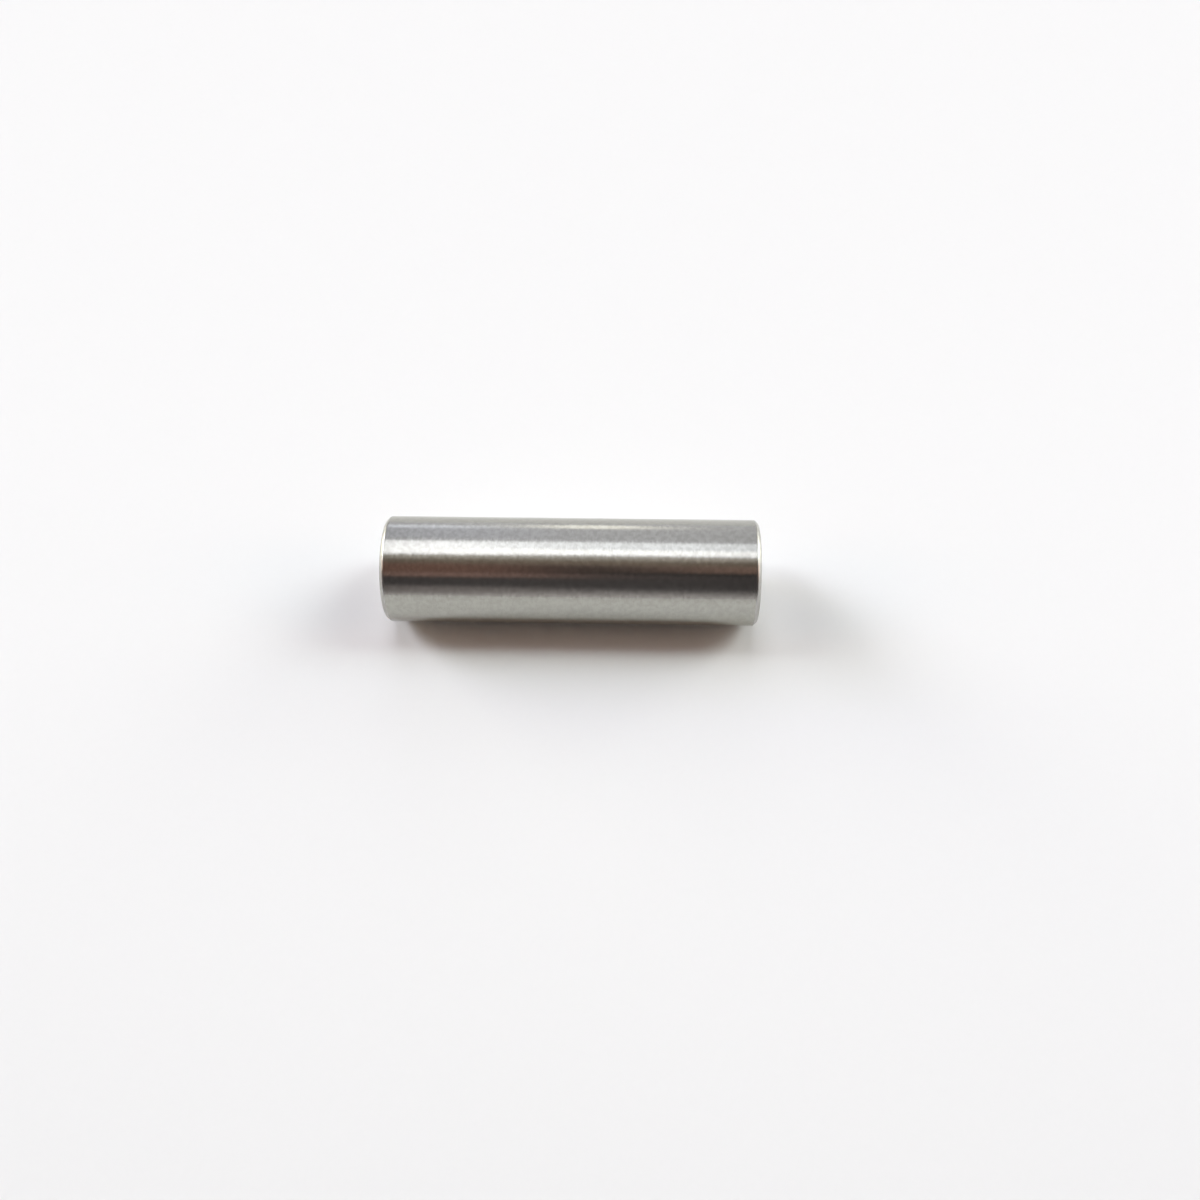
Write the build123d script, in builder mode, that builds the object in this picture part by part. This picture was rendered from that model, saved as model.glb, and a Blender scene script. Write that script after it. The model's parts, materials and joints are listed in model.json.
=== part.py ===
import os

from build123d import *

# Piston pin: one hollow steel pin, ground on the outside and drilled right through.
# Millimetres. The origin is the centre of the lower end face and +Z is the pin's axis.

pin_diameter = 10.0  # ground outside, which runs in the small end and the piston bosses
pin_length = 35.0  # over the two end faces
wall = 2.0  # from the bore to the ground outside
edge_chamfer = 0.35  # 45 degree break on each outer edge
edge_blend = 0.25  # rounds that chamfer into the ground outside and into the end face
mouth_chamfer = 0.4  # 45 degree break at each mouth of the bore

pin_radius = pin_diameter / 2
bore_radius = pin_radius - wall

with BuildPart() as piston_pin:
    # Half of the section through the axis, turned about it
    with BuildSketch(Plane.XZ) as half_section:
        with Locations((bore_radius, 0)):
            Rectangle(wall, pin_length, align=(Align.MIN, Align.MIN))
        bore_corners, outer_corners = half_section.vertices().group_by(Axis.X)
        chamfer(bore_corners, mouth_chamfer)
        chamfer(outer_corners, edge_chamfer)
        *_, end_face_corners, ground_corners = half_section.vertices().group_by(Axis.X)
        fillet(end_face_corners + ground_corners, edge_blend)
    revolve(axis=Axis.Z)

piston_pin.part.label = "piston_pin"

os.makedirs("parts", exist_ok=True)
export_step(piston_pin.part, "parts/piston_pin.step")
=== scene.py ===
import json
import math

import bmesh
import bpy
from mathutils import Matrix, Vector


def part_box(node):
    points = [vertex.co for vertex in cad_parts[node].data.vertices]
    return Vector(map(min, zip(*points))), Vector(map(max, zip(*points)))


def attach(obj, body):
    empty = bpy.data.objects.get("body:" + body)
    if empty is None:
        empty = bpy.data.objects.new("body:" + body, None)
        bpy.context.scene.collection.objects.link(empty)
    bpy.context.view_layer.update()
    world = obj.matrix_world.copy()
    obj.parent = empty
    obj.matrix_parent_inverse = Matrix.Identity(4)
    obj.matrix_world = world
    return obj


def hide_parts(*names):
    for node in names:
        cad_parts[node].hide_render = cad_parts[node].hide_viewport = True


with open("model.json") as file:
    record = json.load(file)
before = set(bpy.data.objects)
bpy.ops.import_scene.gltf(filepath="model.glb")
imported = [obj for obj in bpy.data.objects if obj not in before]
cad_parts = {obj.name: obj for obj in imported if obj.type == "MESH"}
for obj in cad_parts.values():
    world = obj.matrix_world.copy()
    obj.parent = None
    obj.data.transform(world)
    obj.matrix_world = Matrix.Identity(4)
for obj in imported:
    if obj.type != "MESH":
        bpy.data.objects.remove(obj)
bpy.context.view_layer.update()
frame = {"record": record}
print("frame loaded")

mm = 0.001

# the pin's own sizes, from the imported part
pinFoot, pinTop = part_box("piston_pin")
mountSizes = {mount["name"]: mount["dims"] for mount in frame["record"]["mounts"]}
pinRadius = mountSizes["outer_surface"]["r_mm"] * mm
boreRadius = mountSizes["bore"]["r_mm"] * mm
pinLength = pinTop.z - pinFoot.z
pinMiddle = Vector((0, 0, (pinFoot.z + pinTop.z) / 2))

# The pin stands, and its paper stands with it: a sheet that touches the pin's side.
# alongPin runs up the pin, offPaper out of the paper, farAway across the pin, away from the viewer.
paperTurn = math.radians(45)
alongPin = Vector((0, 0, 1))
offPaper = Vector((math.sin(paperTurn), -math.cos(paperTurn), 0))
farAway = offPaper.cross(alongPin)

noiseMiddle = 0.5  # a noise swings about this value


class Wire:
    # one output of a node, which can stand in a sum
    def __init__(self, shader, socket):
        self.shader = shader
        self.socket = socket

    def __add__(self, other):
        return self.shader.math("ADD", self, other)

    def __sub__(self, other):
        return self.shader.math("SUBTRACT", self, other)

    def __rsub__(self, other):
        return self.shader.math("SUBTRACT", other, self)

    def __mul__(self, other):
        return self.shader.math("MULTIPLY", self, other)

    __radd__ = __add__
    __rmul__ = __mul__


class Shader:
    # the nodes of one material or of the world
    def __init__(self, owner):
        owner.use_nodes = True
        self.tree = owner.node_tree
        self.tree.nodes.clear()

    def node(self, kind, settings, sockets, output=0):
        made = self.tree.nodes.new("ShaderNode" + kind)
        for name, value in settings.items():
            setattr(made, name, value)
        for name, value in sockets.items():
            if isinstance(value, Wire):
                self.tree.links.new(value.socket, made.inputs[name])
            else:
                made.inputs[name].default_value = value
        return Wire(self, made.outputs[output]) if made.outputs else made

    def math(self, operation, first, second=0.0):
        return self.node("Math", {"operation": operation}, {0: first, 1: second})

    def vector(self, operation, first, second=(0, 0, 0)):
        return self.node("VectorMath", {"operation": operation}, {0: first, 1: second})

    def dot(self, vector, direction):
        return self.node("VectorMath", {"operation": "DOT_PRODUCT"}, {0: vector, 1: direction}, "Value")

    def mix(self, factor, first, second):
        return self.node("Mix", {"data_type": "RGBA"}, {0: factor, 6: first, 7: second}, 2)

    def noise(self, place, across, along, detail):
        # noise whose grains have one size across the pin's axis and another along it
        size = (1 / across, 1 / across, 1 / along)
        grain = self.node("Mapping", {"vector_type": "POINT"}, {"Vector": place, "Scale": size})
        return self.node("TexNoise", {}, {"Vector": grain, "Scale": 1, "Detail": detail}, "Fac")

    def step(self, value, start, end):
        # rises softly from 0 at start to 1 at end
        sockets = {"Value": value, "From Min": start, "From Max": end}
        return self.node("MapRange", {"interpolation_type": "SMOOTHSTEP"}, sockets)

    def band(self, value, low, high, edge):
        # 1 between low and high, and 0 outside them
        risen = self.step(value, low - edge, low + edge)
        return risen * (1 - self.step(value, high - edge, high + edge))

    def surface(self, sockets):
        surface = self.node("BsdfPrincipled", {}, {"Metallic": 1, **sockets})
        self.node("OutputMaterial", {}, {"Surface": surface})


# The room is what the pin mirrors and what lights its paper. Angles are in degrees: height goes
# over the pin, from the viewer's horizon at 0 to the far one at 180, and side goes along the pin,
# from the foot at -90 to the top at 90. Each light ends softly over its edge in height and its
# fade in side, and later lights cover earlier ones.
overhead = 90
roomDark = (0.02, 0.018, 0.018)
backdrop = {"colour": (1, 1, 1, 1), "strength": 0.97}  # only the camera sees this
wholeHeight = {"height": (-90, 200), "edge": 1}
wholeSide = {"side": (-20, 15), "fade": 1}
leftSide = {"side": (-20, -5), "fade": 1.5}
rightSide = {"side": (0.5, 15), "fade": 1.5}
allSides = {"side": (-100, 100), "fade": 1}
roomLights = [
    # straight across from the pin's middle: the dark viewer, then furniture, window and far wall
    {"name": "near side", "height": (-10, 94), "edge": 1, **wholeSide, "colour": (0.105, 0.095, 0.1)},
    {"name": "low wall", "height": (-10, 10), "edge": 13, **wholeSide, "colour": (0.72, 0.67, 0.70)},
    {"name": "low left", "height": (5, 21), "edge": 5, **leftSide, "colour": (0.36, 0.32, 0.33)},
    {"name": "doorway", "height": (50, 67), "edge": 3, **wholeSide, "colour": (0.024, 0.036, 0.041)},
    {"name": "shelf", "height": (42, 52), "edge": 1.5, "side": (-20, -4), "fade": 1.5,
     "colour": (0.42, 0.26, 0.23)},
    {"name": "left wood", "height": (52, 80), "edge": 2, "side": (-20, -5.2), "fade": 2,
     "colour": (0.33, 0.18, 0.145)},
    {"name": "right wood", "height": (56, 80), "edge": 4, "side": (2, 15), "fade": 1.5,
     "colour": (0.43, 0.275, 0.23)},
    {"name": "ledge", "height": (70.5, 92), "edge": 4, **wholeSide, "colour": (0.29, 0.225, 0.18)},
    {"name": "sill", "height": (82, 92), "edge": 5, **wholeSide, "colour": (0.54, 0.49, 0.46)},
    {"name": "left sill", "height": (82, 92), "edge": 5, **leftSide, "colour": (0.72, 0.66, 0.60)},
    {"name": "right sill", "height": (82, 92), "edge": 5, **rightSide, "colour": (0.78, 0.70, 0.64)},
    {"name": "window", "height": (92, 124), "edge": 1.5, **wholeSide, "colour": (2.5, 2.5, 2.75)},
    {"name": "left panes", "height": (89.9, 121), "edge": 1.5, **leftSide, "colour": (2.75, 2.75, 3.0)},
    {"name": "right panes", "height": (90.6, 123), "edge": 1.5, **rightSide, "colour": (2.1, 2.15, 2.4)},
    {"name": "lower panes", "height": (93, 104), "edge": 1.5, **wholeSide, "colour": (2.85, 2.85, 3.05)},
    {"name": "lower left panes", "height": (95, 109), "edge": 1.5, **leftSide, "colour": (3.0, 3.0, 3.25)},
    {"name": "upper panes", "height": (104, 122), "edge": 1.5, "side": (-6.5, 15), "fade": 3,
     "colour": (1.95, 2.0, 2.2)},
    {"name": "window bar", "height": (107, 110.5), "edge": 1, "side": (-5, 15), "fade": 2,
     "colour": (1.7, 1.75, 1.95)},
    {"name": "far wall", "height": (122.6, 190), "edge": 1.5, **wholeSide, "colour": (0.88, 0.88, 0.96)},
    {"name": "far left wall", "height": (128, 160), "edge": 3, **leftSide, "colour": (0.92, 0.93, 1.07)},
    {"name": "warm lamp", "height": (163, 175), "edge": 2, "side": (-4, 0.5), "fade": 1.5,
     "colour": (2.5, 2.45, 2.35)},
    {"name": "cool lamp", "height": (160, 170), "edge": 2, "side": (-20, -7), "fade": 0.7,
     "colour": (1.55, 1.6, 1.85)},
    # the dark gaps to both sides of that, and the far wall's shaded end
    {"name": "left gap", **wholeHeight, "side": (-50, -14), "fade": 1, "colour": roomDark},
    {"name": "right gap", **wholeHeight, "side": (8.5, 50), "fade": 1, "colour": roomDark},
    {"name": "far right wall", "height": (124, 190), "edge": 1.5, "side": (8.5, 32), "fade": 1,
     "colour": (0.45, 0.45, 0.47)},
    # the rest of the room, which lights the paper and the pin's ends
    {"name": "left pane", "height": (97, 110), "edge": 1, "side": (-60, -32), "fade": 2,
     "colour": (8.0, 8.6, 8.6)},
    {"name": "left window", "height": (110, 124), "edge": 2, "side": (-60, -42), "fade": 3,
     "colour": (8.8, 9.2, 10.2)},
    {"name": "left sky", "height": (124, 140), "edge": 2, "side": (-62, -42), "fade": 3,
     "colour": (9.0, 8.7, 11)},
    {"name": "right pane", "height": (97, 110), "edge": 1, "side": (26, 60), "fade": 2,
     "colour": (6.2, 7.1, 6.8)},
    {"name": "right window", "height": (110, 124), "edge": 2, "side": (34, 60), "fade": 3,
     "colour": (6.3, 6.7, 7.0)},
    {"name": "right sky", "height": (124, 140), "edge": 2, "side": (36, 72), "fade": 3,
     "colour": (2.4, 2.2, 2.2)},
    {"name": "far left room", "height": (140, 190), "edge": 6, "side": (-75, -42), "fade": 4,
     "colour": (5.9, 5.8, 4.8)},
    {"name": "far right room", "height": (140, 190), "edge": 6, "side": (38, 75), "fade": 4,
     "colour": (3.9, 4.0, 3.6)},
    {"name": "near left room", "height": (58, 96), "edge": 6, "side": (-80, -54), "fade": 4,
     "colour": (3.0, 1.9, 1.3)},
    {"name": "near right room", "height": (58, 96), "edge": 6, "side": (52, 80), "fade": 4,
     "colour": (3.0, 1.95, 1.45)},
    {"name": "left end wall", **wholeHeight, "side": (-100, -76), "fade": 3, "colour": (0.9, 0.86, 0.8)},
    {"name": "right end wall", **wholeHeight, "side": (78, 100), "fade": 3, "colour": (2.1, 2.1, 2.1)},
    # the half of the room behind the paper, which only a viewer behind it sees
    {"name": "back wall", "height": (-100, -8), "edge": 6, **allSides, "colour": (0.5, 0.49, 0.48)},
    {"name": "far back wall", "height": (190, 280), "edge": 6, **allSides, "colour": (0.62, 0.62, 0.64)},
    {"name": "back door", "height": (-50, -26), "edge": 4, **allSides, "colour": (0.05, 0.045, 0.04)},
    {"name": "back window", "height": (208, 234), "edge": 3, **allSides, "colour": (2.3, 2.3, 2.5)},
]


def makeRoom():
    world = bpy.data.worlds.new("room")
    bpy.context.scene.world = world
    shader = Shader(world)
    direction = shader.node("TexCoord", {}, {}, "Generated")
    overPaper = shader.dot(direction, offPaper)
    toViewer = shader.dot(direction, -farAway)
    height = overhead - shader.math("ARCTAN2", toViewer, overPaper) * math.degrees(1)
    side = shader.math("ARCSINE", shader.dot(direction, alongPin)) * math.degrees(1)
    colour = (*roomDark, 1)
    for light in roomLights:
        reach = shader.band(height, *light["height"], light["edge"])
        reach = reach * shader.band(side, *light["side"], light["fade"])
        colour = shader.mix(reach, colour, (*light["colour"], 1))
    room = shader.node("Background", {}, {"Color": colour, "Strength": 1})
    plain = {"Color": backdrop["colour"], "Strength": backdrop["strength"]}
    plain = shader.node("Background", {}, plain)
    seen = shader.node("LightPath", {}, {}, "Is Camera Ray")
    surface = shader.node("MixShader", {}, {0: seen, 1: room, 2: plain})
    shader.node("OutputWorld", {}, {"Surface": surface})
    print("room lit:", len(roomLights), "lights")


# tones are shares of white, and places lie across the pin, with the far side above zero; the fall from the
# far tone to the near one is painted shade
paper = {
    "length": 300 * mm,
    "depth": 600 * mm,
    "farTone": 0.917,
    "farPlace": 40 * mm,
    "nearPaintedShadeTone": 0.856,
    "nearPlace": -53 * mm,
    "fibre": 0.5 * mm,
    "fibreSwing": 0.012,
}


def makePaper():
    bpy.ops.object.select_all(action="DESELECT")
    bpy.ops.mesh.primitive_plane_add(size=1, location=pinMiddle - offPaper * pinRadius)
    sheet = bpy.context.object
    sheet.name = "paper"
    sheet.matrix_world = Matrix.Translation(sheet.location) @ Matrix(
        (alongPin * paper["length"], farAway * paper["depth"], offPaper)
    ).transposed().to_4x4()
    bpy.ops.object.transform_apply(location=True, rotation=True, scale=True)
    material = bpy.data.materials.new("paper")
    shader = Shader(material)
    place = shader.node("TexCoord", {}, {}, "Object")
    # painted shade: the paper's colour is made darker towards the viewer, in place of its light falling
    # off
    away = shader.dot(place, farAway)
    reach = {"From Min": paper["farPlace"], "From Max": paper["nearPlace"]}
    near = shader.node("MapRange", {}, {"Value": away, **reach})
    # painted shade: the tone drops from the far tone to the near one
    tone = paper["farTone"] - near * near * near * (paper["farTone"] - paper["nearPaintedShadeTone"])
    fibre = shader.noise(place, paper["fibre"], paper["fibre"], detail=3)
    tone = tone + (fibre - noiseMiddle) * paper["fibreSwing"]
    white = shader.node("BsdfDiffuse", {}, {"Color": shader.mix(tone, (0, 0, 0, 1), (1, 1, 1, 1))})
    # from behind the sheet is clear, and so it is to all that such a look reaches
    behind = shader.node("NewGeometry", {}, {}, "Backfacing")
    behind = behind * shader.node("LightPath", {}, {}, "Is Camera Ray")
    passed = shader.math("MINIMUM", shader.node("LightPath", {}, {}, "Transparent Depth"), 1)
    clear = shader.node("BsdfTransparent", {}, {})
    seeThrough = shader.math("MAXIMUM", behind, passed)
    surface = shader.node("MixShader", {}, {0: seeThrough, 1: white, 2: clear})
    shader.node("OutputMaterial", {}, {"Surface": surface})
    sheet.data.materials.append(material)
    print("paper laid")


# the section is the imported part's own
pinShape = {
    "edgeChamfer": 0.35 * mm,
    "edgeBlend": 0.25 * mm,
    "blendSteps": 4,
    "mouthChamfer": 0.4 * mm,
    "chamferAngle": math.radians(45),
    "turnSteps": 288,
    "creaseAngle": math.radians(30),
}
hair = 0.01 * mm  # a distance too small to see, which keeps a test clear of rounding


def selectPoints(mesh, wanted):
    points = bmesh.from_edit_mesh(mesh)
    for point in points.verts:
        point.select_set(wanted(point.co))
    points.select_flush_mode()
    bmesh.update_edit_mesh(mesh)


def cutCorners(mesh, wanted, size, steps):
    selectPoints(mesh, wanted)
    bpy.ops.mesh.bevel(offset_type="OFFSET", offset=size, segments=steps, affect="VERTICES")


def makePin():
    # half of the section, as a plate in the XZ plane
    bpy.ops.object.select_all(action="DESELECT")
    wallMiddle = (pinRadius + boreRadius) / 2
    bpy.ops.mesh.primitive_plane_add(
        size=1, location=(wallMiddle, 0, pinMiddle.z), rotation=(math.pi / 2, 0, 0)
    )
    pin = bpy.context.object
    pin.name = "groundPin"
    pin.scale = (pinRadius - boreRadius, pinLength, 1)
    bpy.ops.object.transform_apply(location=True, rotation=True, scale=True)

    bpy.ops.object.mode_set(mode="EDIT")
    bpy.ops.mesh.select_mode(type="VERT")
    cutCorners(pin.data, lambda place: place.x < boreRadius + hair, pinShape["mouthChamfer"], 1)
    cutCorners(pin.data, lambda place: place.x > pinRadius - hair, pinShape["edgeChamfer"], 1)
    outerCorner = pinRadius - pinShape["edgeChamfer"] - hair
    blendSetback = pinShape["edgeBlend"] * math.tan(pinShape["chamferAngle"] / 2)
    cutCorners(pin.data, lambda place: place.x > outerCorner, blendSetback, pinShape["blendSteps"])
    bpy.ops.mesh.select_all(action="SELECT")
    bpy.ops.mesh.delete(type="ONLY_FACE")
    # the section's outline is turned about the axis
    bpy.ops.mesh.select_all(action="SELECT")
    bpy.ops.mesh.spin(steps=pinShape["turnSteps"], angle=2 * math.pi, center=(0, 0, 0), axis=(0, 0, 1))
    bpy.ops.mesh.select_all(action="SELECT")
    bpy.ops.mesh.remove_doubles(threshold=hair / 10)
    bpy.ops.mesh.normals_make_consistent(inside=False)
    bpy.ops.object.mode_set(mode="OBJECT")
    bpy.ops.object.shade_smooth_by_angle(angle=pinShape["creaseAngle"])
    # the wide faces keep their own normals, and the blends between them take up the turn
    bpy.ops.object.modifier_add(type="WEIGHTED_NORMAL")
    normals = pin.modifiers[0]
    normals.keep_sharp = True
    normals.weight = 100  # the widest faces count for all
    bpy.ops.object.modifier_apply(modifier=normals.name)

    finishFaces(pin)
    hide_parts("piston_pin")
    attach(pin, "root")
    print("pin turned:", len(pin.data.polygons), "faces")


def finishFaces(pin):
    ground, turned, bored, tumbled = range(4)
    for material in (groundSteel(), turnedSteel(), boredSteel(), tumbledSteel()):
        pin.data.materials.append(material)
    level = 0.01  # a normal's rise along the pin that still counts as none
    for face in pin.data.polygons:
        radius = Vector((face.center.x, face.center.y, 0)).length
        rise = abs(face.normal.z)
        if radius < boreRadius + hair:
            face.material_index = bored
        elif rise > 1 - level or radius < boreRadius + pinShape["mouthChamfer"]:
            face.material_index = turned
        elif rise > level:
            face.material_index = tumbled
        else:
            face.material_index = ground


def newSteel(name):
    material = bpy.data.materials.new(name)
    shader = Shader(material)
    return material, shader, shader.node("TexCoord", {}, {}, "Object")


groundFinish = {
    "colour": (0.437, 0.435, 0.393, 1),
    "streakColour": (0.378, 0.375, 0.336, 1),
    "roughness": 0.15,
    "roughnessSwing": 0.06,
    "anisotropy": 0.2,
    "anisotropyTurn": 0.25,
    "grooveWidth": 0.09 * mm,
    "grooveLength": 0.5 * mm,
    "grooveTilt": math.radians(2.4),
    "waveWidth": 0.3 * mm,
    "waveLength": 0.6 * mm,
    "waveTilt": math.radians(0.7),
    "mottleSize": 0.45 * mm,
    "grooveInStreak": 0.5,
    "streakEdges": (0.3, 0.7),
}


def groundSteel():
    # fine grooves and a faint waviness run round the pin, and lean its normal to and fro
    material, shader, place = newSteel("groundSteel")
    groove = shader.noise(place, groundFinish["grooveLength"], groundFinish["grooveWidth"], detail=3)
    wave = shader.noise(place, groundFinish["waveLength"], groundFinish["waveWidth"], detail=2)
    mottle = shader.noise(place, groundFinish["mottleSize"], groundFinish["mottleSize"], detail=3)
    # the arrow round the pin is as long as the pin's radius, and the lean brings it down to the tilt
    aroundPin = shader.vector("CROSS_PRODUCT", alongPin, place)
    grooveLean = math.tan(groundFinish["grooveTilt"]) / noiseMiddle / pinRadius
    waveLean = math.tan(groundFinish["waveTilt"]) / noiseMiddle / pinRadius
    lean = (groove - noiseMiddle) * grooveLean + (wave - noiseMiddle) * waveLean
    leaning = shader.node("VectorMath", {"operation": "SCALE"}, {0: aroundPin, "Scale": lean})
    flat = shader.node("NewGeometry", {}, {}, "Normal")
    streak = mottle + (groove - noiseMiddle) * groundFinish["grooveInStreak"]
    streak = shader.step(streak, *groundFinish["streakEdges"])
    shader.surface({
        "Base Color": shader.mix(streak, groundFinish["streakColour"], groundFinish["colour"]),
        "Roughness": groove * groundFinish["roughnessSwing"] + groundFinish["roughness"],
        "Anisotropic": groundFinish["anisotropy"],
        "Anisotropic Rotation": groundFinish["anisotropyTurn"],
        "Normal": shader.vector("NORMALIZE", shader.vector("ADD", flat, leaning)),
    })
    return material


turnedFinish = {
    "colour": (0.66, 0.655, 0.63, 1),
    "ringColour": (0.58, 0.575, 0.55, 1),
    "roughness": 0.11,
    "roughnessSwing": 0.08,
    "ringWidth": 0.09 * mm,
    "ringDepth": 0.002 * mm,
    "wearSize": 0.7 * mm,
    "cleanEdges": (0.35, 0.65),
}


def turnedSteel():
    # the tool's rings run round the end faces and the mouths of the bore
    material, shader, place = newSteel("turnedSteel")
    outward = shader.vector("MULTIPLY", place, (1, 1, 0))
    radius = shader.node("VectorMath", {"operation": "LENGTH"}, {0: outward}, "Value")
    rings = {"W": radius * (1 / turnedFinish["ringWidth"]), "Scale": 1, "Detail": 2}
    ring = shader.node("TexNoise", {"noise_dimensions": "1D"}, rings, "Fac")
    wear = shader.noise(place, turnedFinish["wearSize"], turnedFinish["wearSize"], detail=3)
    clean = shader.step((ring + wear) * 0.5, *turnedFinish["cleanEdges"])
    shader.surface({
        "Base Color": shader.mix(clean, turnedFinish["ringColour"], turnedFinish["colour"]),
        "Roughness": wear * turnedFinish["roughnessSwing"] + turnedFinish["roughness"],
        "Normal": shader.node("Bump", {}, {"Height": ring, "Distance": turnedFinish["ringDepth"]}),
    })
    return material


boredFinish = {
    "colour": (0.40, 0.39, 0.37, 1),
    "dullColour": (0.24, 0.23, 0.215, 1),
    "roughness": 0.3,
    "roughnessSwing": 0.25,
    "toolWidth": 0.25 * mm,
    "toolLength": 6 * mm,
    "toolDepth": 0.006 * mm,
    "skinSize": 1.6 * mm,
    "cleanEdges": (0.3, 0.7),
}


def boredSteel():
    # the drill's marks run round the bore, under a dull skin from hardening
    material, shader, place = newSteel("boredSteel")
    mark = shader.noise(place, boredFinish["toolLength"], boredFinish["toolWidth"], detail=3)
    skin = shader.noise(place, boredFinish["skinSize"], boredFinish["skinSize"], detail=4)
    clean = shader.step(skin, *boredFinish["cleanEdges"])
    shader.surface({
        "Base Color": shader.mix(clean, boredFinish["dullColour"], boredFinish["colour"]),
        "Roughness": skin * boredFinish["roughnessSwing"] + boredFinish["roughness"],
        "Normal": shader.node("Bump", {}, {"Height": mark, "Distance": boredFinish["toolDepth"]}),
    })
    return material


tumbledFinish = {
    "colour": (0.52, 0.515, 0.49, 1),
    "dullColour": (0.44, 0.43, 0.40, 1),
    "roughness": 0.26,
    "roughnessSwing": 0.16,
    "grainSize": 0.12 * mm,
    "grainDepth": 0.003 * mm,
    "wearSize": 0.6 * mm,
    "grainInWear": 0.5,
    "cleanEdges": (0.3, 0.7),
}


def tumbledSteel():
    # tumbling leaves the blended edges with a fine even grain
    material, shader, place = newSteel("tumbledSteel")
    grain = shader.noise(place, tumbledFinish["grainSize"], tumbledFinish["grainSize"], detail=2)
    wear = shader.noise(place, tumbledFinish["wearSize"], tumbledFinish["wearSize"], detail=3)
    clean = wear + (grain - noiseMiddle) * tumbledFinish["grainInWear"]
    clean = shader.step(clean, *tumbledFinish["cleanEdges"])
    shader.surface({
        "Base Color": shader.mix(clean, tumbledFinish["dullColour"], tumbledFinish["colour"]),
        "Roughness": wear * tumbledFinish["roughnessSwing"] + tumbledFinish["roughness"],
        "Normal": shader.node("Bump", {}, {"Height": grain, "Distance": tumbledFinish["grainDepth"]}),
    })
    return material


# height is the angle over the paper, and side is a step towards the pin's top
view = {
    "distance": 23 * pinRadius,
    "height": math.radians(58),
    "side": 1.13 * pinRadius,
    "roll": math.radians(0.745),
    "aimAlong": 2.68 * mm,
    "aimDown": 2.75 * mm,
    "lens": 36.3,  # in millimetres, as the sensor is
    "sensor": 36,
    "nearClip": 1 * mm,
}


def lookBack(place, target):
    # the way back from target to place, and the way right, with the pin level
    back = (place - target).normalized()
    right = (alongPin - back * alongPin.dot(back)).normalized()
    return back, right


def makeCamera():
    out = offPaper * math.sin(view["height"]) - farAway * math.cos(view["height"])
    place = pinMiddle + out * view["distance"] + alongPin * view["side"]
    # the pin's middle is above and left of the middle of the view
    back, right = lookBack(place, pinMiddle)
    target = pinMiddle + right * view["aimAlong"] - back.cross(right) * view["aimDown"]
    back, right = lookBack(place, target)
    right = Matrix.Rotation(view["roll"], 3, back) @ right
    turn = Matrix((right, back.cross(right), back)).transposed()
    bpy.ops.object.camera_add(location=place, rotation=turn.to_euler())
    camera = bpy.context.object
    camera.data.lens = view["lens"]
    camera.data.sensor_width = view["sensor"]
    camera.data.clip_start = view["nearClip"]
    bpy.context.scene.camera = camera
    print("camera placed")


makeRoom()
makePaper()
makePin()
makeCamera()
bpy.context.scene.view_settings.view_transform = "Standard"

print("scene made")
